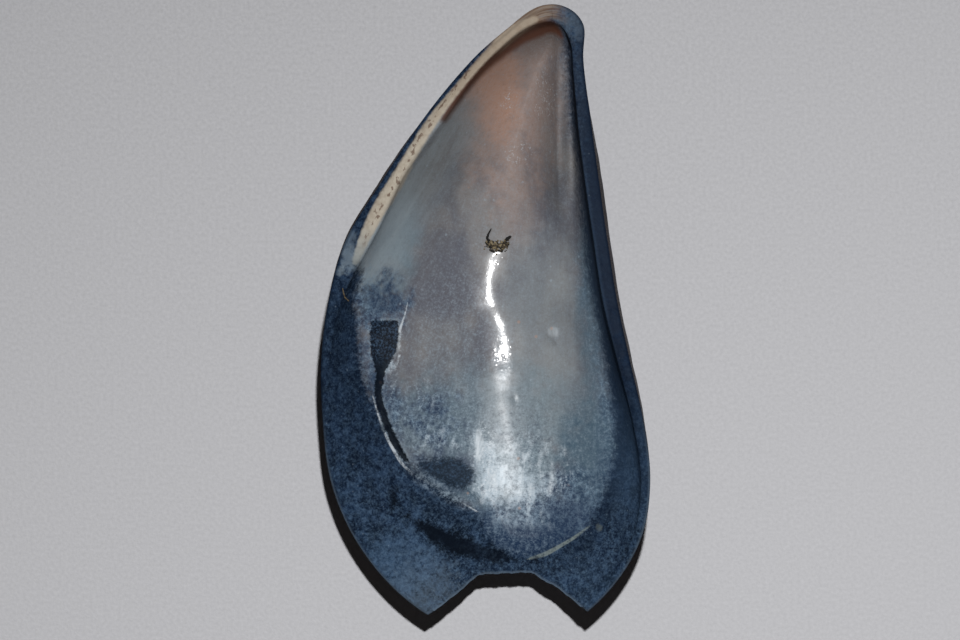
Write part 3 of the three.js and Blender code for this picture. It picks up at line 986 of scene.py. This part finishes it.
def border_colour(look, tint, grains):
    """Slate blue border with a fine even grain, worn paler towards the broken end, with a thin edge,
    painted light on the steep wall at the right and painted shade along the pearl's right edge.
    """
    fine, mottle, marble = grains.fine, grains.mottle, grains.marble
    base = look.mix((mottle * 0.5 + marble * 0.5).ease(0.39, 0.68), tint.border_dark, tint.border)
    base = look.zoned(base, tint, BORDER_ZONES, grains.grain)
    straight = look.x.ease(9.5, 13) * look.y.ease(-16, -4)
    coarse = (0.2 + look.y.ease(-8, -30) * 0.2) * (1 - straight * 0.75)
    rim, side = look.field("rim"), look.x.ease(9.5, 12.5) * look.y.ease(-26, -16)
    beside = look.field("pearl") + mottle.swing(1.2)
    # Painted shade: a dark band inside the border along the pearl's right edge.
    pearl_edge_shade = beside.ease(-2.4, -1) * beside.ease(0.4, -0.4) * look.x.ease(8, 11) * look.y.ease(2, -6)
    edge = look.mix(look.y.ease(-9, -20), tint.border_dark, tint.worn_grey)
    return look.layered(
        base,
        ((mottle * 0.6 + marble * 0.4).ease(0.42, 0.72) * coarse, tint.border_light),
        (mottle.ease(0.5, 0.25) * look.y.ease(-20, -30) * 0.6, tint.border_dark),
        ((fine * 0.5 + mottle * 0.5).ease(0.4, 0.8) * coarse, tint.border_pale),
        (look.dots(1.7, 0.2, 0.12) * 0.14, tint.frost),
        # painted light on the steep inner wall at the right, which the lamp leaves dark
        (side * rim.ease(1.1, 1.6) * 0.22, tint.border_light),
        (side * rim.ease(1.6, 1) * (0.35 + look.y.ease(8, 22) * 0.25), tint.border_dark),
        # painted shade along the pearl's right edge
        (pearl_edge_shade * 0.4, tint.border_dark),
        (rim.ease(0.35, 0.1) * 0.5, edge),
    )


def ridge_colour(look, tint, grains, run, offset):
    """Chalky hinge ridge: cream, tan towards the beak, with a line of small brown pits along it."""
    sway = abs(offset + 0.3 - run.ease(9, 24) * 0.4)
    blots = look.noise(1.1, 3, 0.6, look.spread(run, offset * 1.5))
    pits = (blots - sway * 0.34).ease(0.48, 0.56) * run.ease(7, 10)
    return look.layered(
        look.mix(grains.grain.ease(0.35, 0.75) * 0.5, tint.chalk, tint.chalk_tan),
        (run.ease(22, 8) * 0.65, tint.chalk_tan),
        (offset.ease(0.1, 0.5) * run.ease(5, 11) * 0.4, tint.chalk),
        (run.ease(29, 35) * 0.6, tint.pearl_blue),
        (pits * run.ease(33.5, 31) * 0.65, tint.stain_and_shade_brown),
    )


def hinge_layers(look, tint, run):
    """Cover and colour of the thin tan layers along the outer edge next to the beak."""
    rim = look.field("rim")
    cover = rim.ease(2, 1.2) * run.ease(6.8, 4) * (look.x + look.noise(1.2).swing(2)).ease(9.8, 6.6)
    cover = cover * look.field("drop").ease(1.2, 0.3)
    lines = look.noise(4, 3, 0.6, look.spread(rim, run * 0.08 + look.x * 0.05))
    layers = look.mix(lines.ease(0.4, 0.62) * 0.6, tint.chalk_tan, tint.stain_and_shade_brown)
    return cover, look.mix(lines.ease(0.45, 0.3) * 0.5, layers, tint.worn_grey)


def marks(look, tint, grains, colour):
    """Colour with the dark patch, crescent and scar laid on it, and the cover of the scar and the patch."""
    fine, grain, mottle = grains.fine, grains.grain, grains.mottle
    patch = (look.field("patch") + grain.swing(1.5) + mottle.swing(1.6)).ease(0.5, -0.3)
    smudge = (fine * 0.5 + mottle * 0.5).ease(0.42, 0.68) * 0.5
    crescent = (look.field("crescent") + mottle.swing(1.6) + grains.marble.swing(2)).ease(0.5, -0.4)
    strip = (look.field("strip") + grain.swing(0.8)).ease(0.2, -0.2)
    scar_edge = look.field("scar") + mottle.swing(0.9)
    scar = scar_edge.ease(0.12, -0.08)
    lit = scar_edge.ease(0.4, 0.1) * (look.x + 12.2).ease(-0.3, 0.3)
    smoke = (fine * 0.6 + mottle * 0.4).ease(0.45, 0.66) * look.y.ease(-6.5, -4) * 0.6
    colour = look.layered(
        colour,
        (patch * (0.75 + mottle * 0.4), look.mix(smudge, tint.patch, tint.border_light)),
        (crescent * (0.95 - look.x.ease(-4, 1) * 0.2), tint.shadow_blue),
        (strip * mottle.ease(0.3, 0.6) * 0.45, tint.pearl_violet),
        (lit * grain.ease(0.35, 0.6) * 0.3, tint.frost),
        (scar * 0.93, look.mix(smoke, tint.shadow_blue, tint.border_light)),
    )
    return colour, scar, patch


def pale_lines(look, tint, grains, colour):
    """Colour with the thin raised lines on it: white at the left, fuzzy low down, grey at the right."""
    mottle = grains.mottle
    offset, away, breadth = look.axes(look.field("pale_line", "Vector"))
    line = (abs(offset) - breadth).ease(0.12, -0.02) * away.ease(0.5, 0.4)
    right = look.x.ease(1, 3)
    broken = (grains.cloud * 0.5 + mottle * 0.5).ease(0.42, 0.58)
    stretch = look.spot(*FUZZY_SPOT)
    fuzz = away.ease(1.1, 0.1) * mottle.ease(0.42, 0.66) * stretch * 0.42
    line = line * (broken + right * 0.4) * (0.75 - right * 0.2) * (1 - stretch * 0.7)
    line = line.math("MAXIMUM", fuzz)
    pale = look.mix(stretch, tint.white, tint.frost)
    return look.mix(line, colour, look.mix(right, pale, tint.line_grey))


def pearl_relief(look, grains):
    """Fine bump of the pearl, in millimetres: a faint grain along the rays, two clusters of blisters."""
    blisters = look.node("ShaderNodeTexVoronoi", inputs={"Vector": look.place, "Scale": 1.7}).ease(0.1, 0.5)
    first, second = (look.spot(*spot) for spot in BLISTER_SPOTS)
    blisters = blisters * (first + second)
    grain = grains.grain.swing(0.003) + grains.thread.swing(0.002)
    return grain + grains.cloud.swing(0.02) + blisters * 0.012


def inside_finish(tint):
    """Pearl in the hollow, slate blue border round it, chalky hinge ridge, scar, stains, lines, and painted
    shade under the hinge plate.
    """
    look = Look("pearl_and_border")
    grains = Grains(look)
    fine, grain, mottle = grains.fine, grains.grain, grains.mottle
    border, pearl = border_colour(look, tint, grains), pearl_colour(look, tint, grains)
    pearl_edge = look.field("pearl") + grain.swing(1.4) + mottle.swing(1.6)
    colour = look.mix(pearl_edge.ease(-0.7, 0.7), border, pearl)
    colour, scar, patch = marks(look, tint, grains, colour)
    # Painted shade under the hinge plate: dark brown at the lip, turning lighter brown down the wall as
    # painted light, only near the top of the wall.
    drop = look.field("drop") + grain.swing(3) + grains.cloud.swing(4)
    hinge_shade = (look.field("hinge_shade") + grain.swing(0.2)).ease(0.4, -0.35) * drop.ease(6.5, 3)
    brown = look.mix(look.field("lip").ease(1.1, 0.1), tint.hinge_shade_umber, tint.stain_and_shade_brown)
    colour = pale_lines(look, tint, grains, look.mix(hinge_shade * 0.9, colour, brown))

    beside, offset, run = look.axes(look.field("ridge", "Vector"))
    cover, layers = hinge_layers(look, tint, run)
    ridge = (beside + grain.swing(0.35)).ease(0.2, -0.15)
    chalk = ridge_colour(look, tint, grains, run, offset)
    colour = look.layered(colour, (cover * 0.85, layers), (ridge, chalk))

    low = look.y + grain.swing(3)
    worn = low.ease(-19, -25)
    gloss = look.field("pearl").ease(0.2, 3) * (1 - ridge) * (1 - scar)
    gloss = gloss * (1 - patch * 0.85) * (1 - worn * 0.85) * (0.6 + mottle.ease(0.3, 0.6) * 0.4)
    dull = 0.1 + fine.swing(0.03) + low.ease(-5.5, -9) * 0.26
    sheen = {"Specular_IOR_Level": 0.065, "Coat_Weight": 0.12, "Coat_Roughness": 0.24}
    pearly = look.surface(colour, dull, pearl_relief(look, grains), **sheen)
    matt = look.surface(colour, 0.8, fine.swing(0.035) + mottle.swing(0.05), Specular_IOR_Level=0.02)
    return look.finish(look.node("ShaderNodeMixShader", inputs={0: gloss, 1: matt, 2: pearly}))


def back_finish(tint):
    """Dark horny skin over the back: blue-black growth bands, brown edge, faint rays, worn pale beak."""
    look = Look("horny_back")
    fine, grain, cloud = look.noise(3.0, 4, 0.7), look.noise(0.9, 4), look.noise(0.25)
    size, arm, ray = look.field("growth"), look.field("arm"), look.field("ray")
    ring = look.spread(size * 60, ray * 1.5)
    bands, lines = look.noise(0.55, 5, 0.7, ring), look.noise(2.6, 3, 0.6, ring)
    rays = look.noise(0.6, 3, 0.6, look.spread(size * 3, ray * 34))
    brown = size.ease(0.72, 1) * (0.35 + bands * 0.8)
    worn = (arm + cloud.swing(5) + grain.swing(5)).ease(15, 5)
    bare = look.mix((grain * 0.5 + fine * 0.5).ease(0.35, 0.7) * 0.7, tint.skin_violet, tint.frost)
    colour = look.layered(
        look.mix(bands.ease(0.4, 0.62), tint.skin_black, tint.skin_blue),
        (rays.ease(0.52, 0.68) * 0.5, tint.skin_violet),
        (brown.math("MINIMUM", 0.8), tint.skin_brown),
        (lines.ease(0.55, 0.7) * 0.4, tint.skin_brown),
        (worn * 0.85, bare),
        ((fine * 0.6 + grain * 0.4).ease(0.6, 0.72) * 0.35, tint.border_light),
    )
    height = lines.swing(0.12) + bands.swing(0.1) + fine.swing(0.03)
    dull = 0.4 + worn * 0.25 + fine.swing(0.2)
    return look.finish(look.surface(colour, dull, height, Specular_IOR_Level=0.12))


def grit_finish(tint):
    """Dry dirt: grains from black to tan, each with its own tone."""
    look = Look("dry_dirt")
    tone = look.field("tone") + look.noise(6, 3).swing(0.25)
    colour = look.mix(tone.ease(0.1, 0.5), tint.dirt_black, tint.dirt_brown)
    colour = look.mix(tone.ease(0.55, 0.95), colour, tint.dirt_tan)
    return look.finish(look.surface(colour, 0.85, look.noise(9, 3).swing(0.08)))


def floor_finish(tint):
    """Pale sheet with a faint tooth, with painted light: lighter towards the front and the right, and
    lighter away from the middle, where the lamp's light falls off.
    """
    look = Look("pale_floor")
    tooth = look.noise(2.4, 3)
    # Painted light: a gradient towards the front and right, and a lift away from the middle for the lamp's
    # falloff.
    light = 1.056 + look.x * 0.0008 - look.y * 0.0048 + (look.x ** 2 + look.y ** 2) * 0.000014
    light = (light + tooth.swing(0.34)).math("MAXIMUM", 0.7).math("MINIMUM", 1.4)
    colour = look.node("ShaderNodeVectorMath", {"operation": "SCALE"}, {0: tint.floor, "Scale": light})
    return look.finish(look.surface(colour, 0.8, tooth.swing(0.04), Specular_IOR_Level=0.2))


# Settings

def colour(name, description, red, green, blue):
    """A colour setting, given as the screen's 0 to 255 and kept as linear light."""
    srgb = np.array((red, green, blue)) / 255
    linear = np.where(srgb <= 0.04045, srgb / 12.92, ((srgb + 0.055) / 1.055) ** 2.4)
    return bpy.props.FloatVectorProperty(
        name=name, description=description, subtype="COLOR", size=3, min=0, max=1,
        default=[float(value) for value in linear],
    )


def number(name, description, default, **more):
    """A number setting."""
    return bpy.props.FloatProperty(name=name, description=description, default=default, **more)


def length(name, description, default):
    """A small length setting, in millimetres."""
    return number(name, description, default, min=0, precision=3)


def point(name, description, *default):
    """A place setting, in metres."""
    return bpy.props.FloatVectorProperty(
        name=name, description=description, size=len(default), default=default,
        subtype="XYZ", unit="LENGTH",
    )


class ShellSizes(bpy.types.PropertyGroup):
    """Heights of the valve's relief, in millimetres."""

    pearl_step: length("Pearl step", "Height of the pearly layer over the border", 0.32)
    groove_depth: length("Groove depth", "Depth of the scar and of the groove below it", 0.22)
    swell: length("Swell", "Height of the soft waves in the hollow", 0.018)
    ridge_height: length("Growth ridge height", "Height of the ridges where growth paused", 0.3)
    ridge_width: length("Growth ridge width", "Half breadth of those ridges", 1.2)
    growth_line: length("Growth line height", "Height of the fine growth lines", 0.035)
    rim_crown: length("Rim crown", "Height of the rounded rim", 0.25)
    hinge_crown: length("Hinge crown", "Height of the chalky hinge ridge", 0.6)
    tooth: length("Tooth", "Raggedness of the broken edge, as a share of its reach", 0.003)


class ShellColours(bpy.types.PropertyGroup):
    """Colours of the finishes."""

    pearl: colour("Pearl", "Plain pearl in the middle of the hollow", 126, 124, 124)
    pearl_light: colour("Light pearl", "Brightest pearl right of the middle", 137, 143, 146)
    pearl_rose: colour("Rose pearl", "Warm pearl under the beak", 152, 134, 126)
    pearl_violet: colour("Violet pearl", "Cool pearl left of the middle", 93, 94, 102)
    pearl_blue: colour("Blue pearl", "Thin pearl along the sides", 105, 125, 136)
    # Painted light on the wall beside the hinge ridge.
    painted_light_teal: colour("Teal pearl", "Pale streaks near the hinge", 156, 168, 175)
    pearl_orange: colour("Orange pearl", "Warm flush near the beak", 182, 144, 124)
    pearl_deep: colour("Deep pearl", "Thin dark pearl along the straight margin", 76, 97, 112)
    pearl_shade: colour("Shaded pearl", "Grey pearl below the straight margin", 94, 90, 88)
    frost: colour("Frost", "White bloom and worn specks", 164, 181, 193)
    white: colour("White", "Raised white lines and glare", 206, 214, 220)
    line_grey: colour("Line grey", "Pale line at the lower right", 128, 138, 134)
    border: colour("Border", "Slate blue border", 32, 50, 76)
    border_dark: colour("Dark border", "Darkest slate of the border", 14, 25, 41)
    border_light: colour("Light border", "Blue-grey of the worn border", 72, 97, 125)
    border_pale: colour("Pale border", "Palest blue of the mottling", 114, 140, 162)
    border_grey: colour("Grey border", "Dull border along the straight margin", 38, 46, 60)
    worn_grey: colour("Worn grey", "Greyed blue of rubbed places", 94, 108, 122)
    shadow_blue: colour("Blue-black", "Scar, groove and glossy crescent", 11, 17, 26)
    patch: colour("Grey patch", "Dark patch beside the pearl", 30, 39, 50)
    chalk: colour("Chalk", "Chalky hinge ridge", 176, 168, 154)
    chalk_tan: colour("Tan chalk", "Stained chalk", 134, 118, 102)
    # Real brown of the pits and hinge layers, also used for the painted shade at the lip under the hinge
    # plate.
    stain_and_shade_brown: colour("Stain", "Brown pits and thin layers of the hinge", 76, 46, 32)
    # Painted light in the shade under the hinge plate: a lighter brown laid on the wall there.
    hinge_shade_umber: colour("Umber", "Brown wall under the hinge plate", 108, 68, 51)
    skin_black: colour("Skin black", "Blue-black horny skin", 14, 17, 24)
    skin_blue: colour("Skin blue", "Blue horny skin", 30, 40, 62)
    skin_violet: colour("Skin violet", "Violet rays and worn beak", 70, 66, 98)
    skin_brown: colour("Skin brown", "Brown skin near the margin", 44, 34, 26)
    dirt_black: colour("Dirt black", "Darkest crumbs", 12, 10, 8)
    dirt_brown: colour("Dirt brown", "Brown crumbs", 62, 51, 37)
    dirt_tan: colour("Dirt tan", "Palest crumbs", 132, 119, 92)
    floor: colour("Floor", "Pale floor", 184, 184, 187)


class StageLook(bpy.types.PropertyGroup):
    """Camera and light."""

    camera_height: number("Camera height", "Height of the camera over the floor", 0.32, unit="LENGTH")
    camera_place: point("Camera place", "Plan place of the camera", -0.0006, -0.00069)
    lens: number("Lens", "Focal length, in millimetres on a 36 mm sensor", 100.95)
    key_place: point("Key place", "Place of the key light", 0.01, 0.058, 0.27)
    key_size: number("Key size", "Breadth of the key light's disc", 0.0085, unit="LENGTH")
    key_power: number("Key power", "Power of the key light, in watts", 0.705)
    fill: number("Fill", "Strength of the soft light from above", 0.01)
    backdrop: number("Backdrop", "Strength of the soft light from the pale backdrop all round", 0.4)
    backdrop_height: number("Backdrop height", "Top of the backdrop over the horizon, as a sine", 0.24)


# Stage

FLOOR_HALF = 1.2
SENSOR_WIDTH = 36
BACKDROP_FOOT = 0.04
BACKDROP_TINT = (1, 0.93, 0.92, 1)


def lay_floor(tint):
    """Flat square sheet under the shell."""
    corners = np.array([(-1, -1, 0), (1, -1, 0), (1, 1, 0), (-1, 1, 0)]) * FLOOR_HALF
    return mesh_object("floor", corners, np.array([(0, 1, 2), (0, 2, 3)]), [floor_finish(tint)])


def hang_lamp(scene, stage):
    """Small round lamp turned to the origin."""
    key = bpy.data.lights.new("key", "AREA")
    key.shape = "DISK"
    key.size = stage.key_size
    key.energy = stage.key_power
    lamp = bpy.data.objects.new("key", key)
    lamp.location = stage.key_place
    lamp.rotation_euler = (-Vector(stage.key_place)).to_track_quat("-Z", "Y").to_euler()
    scene.collection.objects.link(lamp)


def light_backdrop(scene, stage):
    """World that is bright in a low band all round, as from a pale backdrop, and dim above."""
    world = bpy.data.worlds.new("soft_fill")
    world.use_nodes = True
    sky = Nodes(world.node_tree)
    rise = sky.axes(sky.node("ShaderNodeTexCoord", output="Generated"))[2]
    light = stage.fill + rise.ease(stage.backdrop_height, BACKDROP_FOOT) * stage.backdrop
    glow = sky.node("ShaderNodeBackground", inputs={"Color": BACKDROP_TINT, "Strength": light})
    sky.node("ShaderNodeOutputWorld", inputs={"Surface": glow}, output=None)
    scene.world = world


def set_camera(scene, stage):
    """Camera that looks straight down on the shell."""
    lens = bpy.data.cameras.new("camera")
    lens.sensor_width = SENSOR_WIDTH
    lens.lens = stage.lens
    camera = bpy.data.objects.new("camera", lens)
    camera.location = (*stage.camera_place, stage.camera_height)
    scene.collection.objects.link(camera)
    scene.camera = camera


# Operators

class SHELL_OT_valve(bpy.types.Operator):
    """Build the valve, with its pearly inside and its dark back"""

    bl_idname = "shell.valve"
    bl_label = "Valve"

    def execute(self, context):
        sizes, tint = context.scene.shell_sizes, context.scene.shell_colours
        points, faces, finish, outside = valve_surface(sizes)
        piece = mesh_object("valve_shell", points, faces, [inside_finish(tint), back_finish(tint)], outside)
        for name, values in finish.items():
            put_field(piece, name, values)
        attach(piece, "root")
        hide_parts("valve")
        return {"FINISHED"}


class SHELL_OT_crumbs(bpy.types.Operator):
    """Drop the crumbs of dirt on the valve's inside"""

    bl_idname = "shell.crumbs"
    bl_label = "Crumbs"

    def execute(self, context):
        context.view_layer.update()
        points, faces, tone = crumb_surface(bpy.data.objects["valve_shell"])
        piece = mesh_object("dirt_crumbs", points, faces, [grit_finish(context.scene.shell_colours)])
        put_field(piece, "tone", tone)
        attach(piece, "root")
        return {"FINISHED"}


class SHELL_OT_stage(bpy.types.Operator):
    """Lay the floor and set the light and the camera"""

    bl_idname = "shell.stage"
    bl_label = "Stage"

    def execute(self, context):
        scene, stage = context.scene, context.scene.shell_stage
        floor = lay_floor(scene.shell_colours)
        hang_lamp(scene, stage)
        light_backdrop(scene, stage)
        scene.view_settings.view_transform = "Standard"
        set_camera(scene, stage)
        return {"FINISHED"}


class SHELL_PT_panel(bpy.types.Panel):
    """The shell's operators and settings"""

    bl_idname = "SHELL_PT_panel"
    bl_label = "Mussel valve"
    bl_space_type = "VIEW_3D"
    bl_region_type = "UI"
    bl_category = "Mussel"

    def draw(self, context):
        for operator in OPERATORS:
            self.layout.operator(operator.bl_idname)
        for group in SETTINGS:
            settings = getattr(context.scene, group)
            for key in settings.__annotations__:
                self.layout.prop(settings, key)


SETTINGS = {"shell_sizes": ShellSizes, "shell_colours": ShellColours, "shell_stage": StageLook}
OPERATORS = (SHELL_OT_valve, SHELL_OT_crumbs, SHELL_OT_stage)


def register():
    for group in (*SETTINGS.values(), *OPERATORS, SHELL_PT_panel):
        bpy.utils.register_class(group)
    for name, group in SETTINGS.items():
        setattr(bpy.types.Scene, name, bpy.props.PointerProperty(type=group))


def unregister():
    for name in SETTINGS:
        delattr(bpy.types.Scene, name)
    for group in (SHELL_PT_panel, *OPERATORS, *SETTINGS.values()):
        bpy.utils.unregister_class(group)


def main():
    register()
    bpy.ops.shell.valve()
    bpy.ops.shell.crumbs()
    bpy.ops.shell.stage()


if __name__ == "__main__":
    main()
